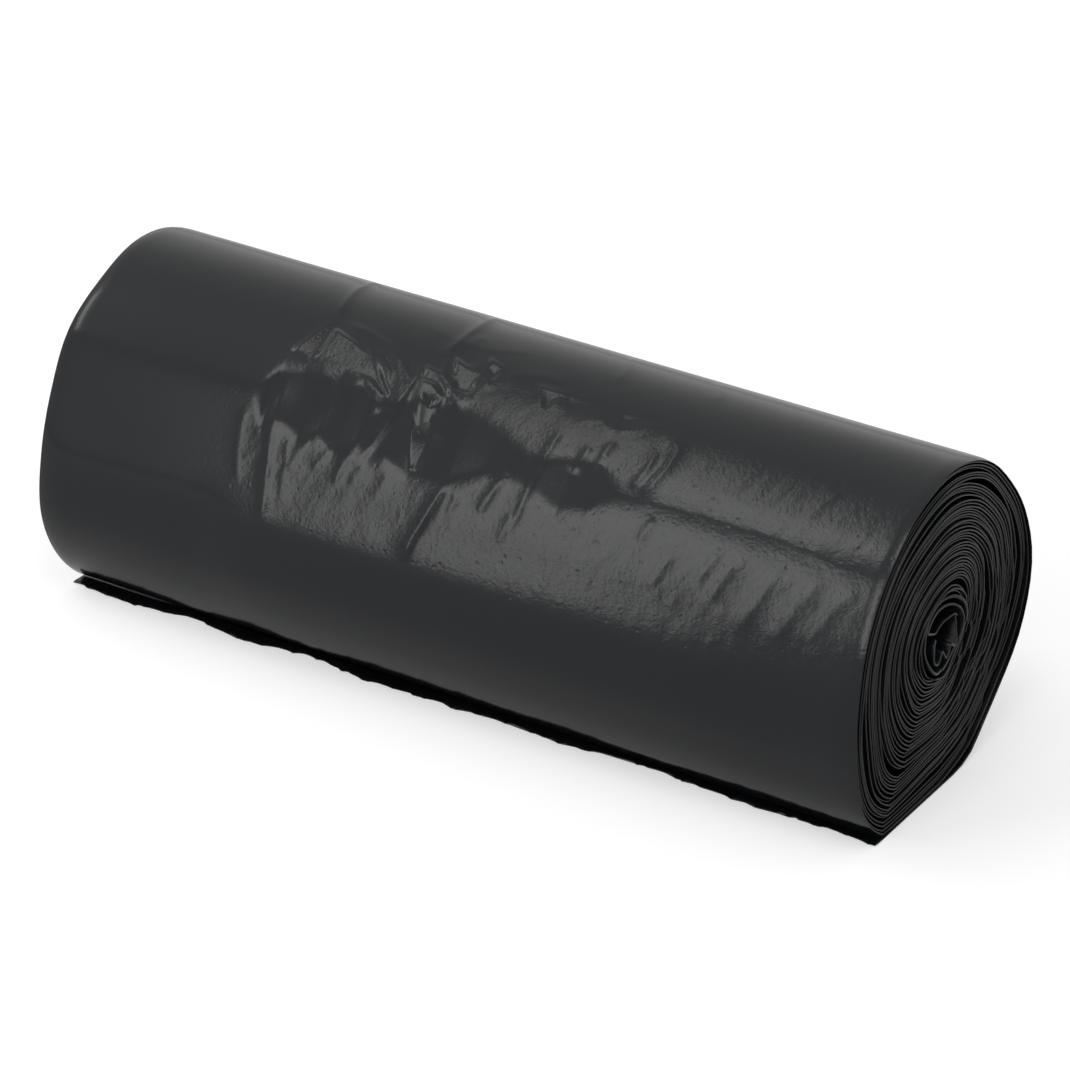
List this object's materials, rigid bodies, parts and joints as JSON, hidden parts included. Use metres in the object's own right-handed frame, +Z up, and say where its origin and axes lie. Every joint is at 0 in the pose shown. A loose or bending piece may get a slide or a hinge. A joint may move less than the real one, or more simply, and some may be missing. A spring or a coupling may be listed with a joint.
{
  "type": "roll of rubble sacks",
  "caption": "Coreless roll of heavy-duty black film rubble sacks lying on its side, wound from one folded web with a torn perforated tail and a crumpled middle.",
  "frame": {"origin": "middle of the bounding box's bottom, on the surface that the roll lies on", "axes": "+X along the roll towards the end that the picture shows, +Y to the back, +Z up; the torn tail lies at the front, towards -Y"},
  "size_m": [0.26, 0.0974, 0.0952],
  "materials": {
    "film": "smooth black blown film with a soft gloss"
  },
  "bodies": {
    "root": {"sack_roll": "film"}
  },
  "joints": []
}
